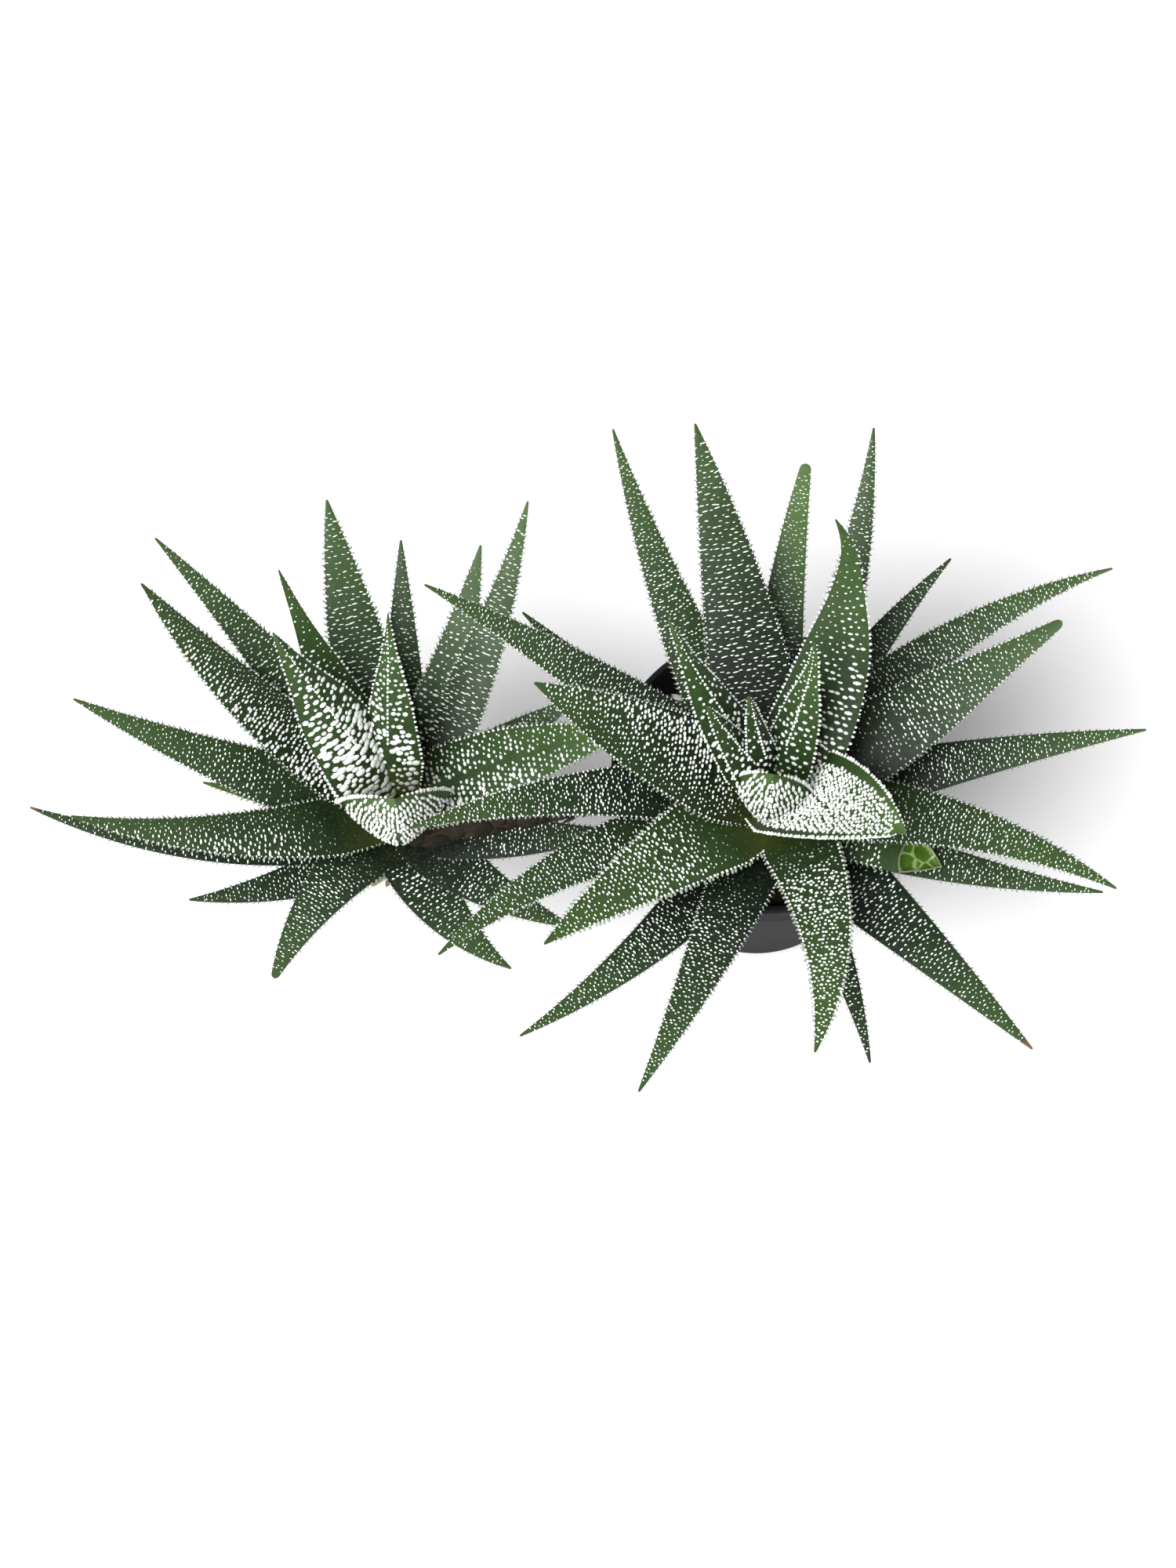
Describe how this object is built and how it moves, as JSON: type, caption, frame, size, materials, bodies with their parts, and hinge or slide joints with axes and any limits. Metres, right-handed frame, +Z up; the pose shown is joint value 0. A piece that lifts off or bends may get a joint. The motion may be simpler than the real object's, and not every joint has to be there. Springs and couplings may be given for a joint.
{
  "type": "potted zebra haworthia",
  "caption": "Small clustered succulent: rosettes of keeled, white-tubercled, tooth-edged leaves, rooted in soil in a round tapered nursery pot.",
  "frame": {"origin": "middle of the pot's flat base, on the surface that the pot stands on", "axes": "+Z up, +X towards the right of the pictured view, +Y away from the camera; the smaller rosette leans out towards -X"},
  "size_m": [0.2487, 0.1498, 0.1296],
  "materials": {
    "pot_plastic": "matte",
    "potting_soil": "matte",
    "leaf": "satin"
  },
  "bodies": {
    "root": {"nursery_pot": "pot_plastic", "soil": "potting_soil", "rosette_right": "leaf", "rosette_left": "leaf"}
  },
  "joints": []
}
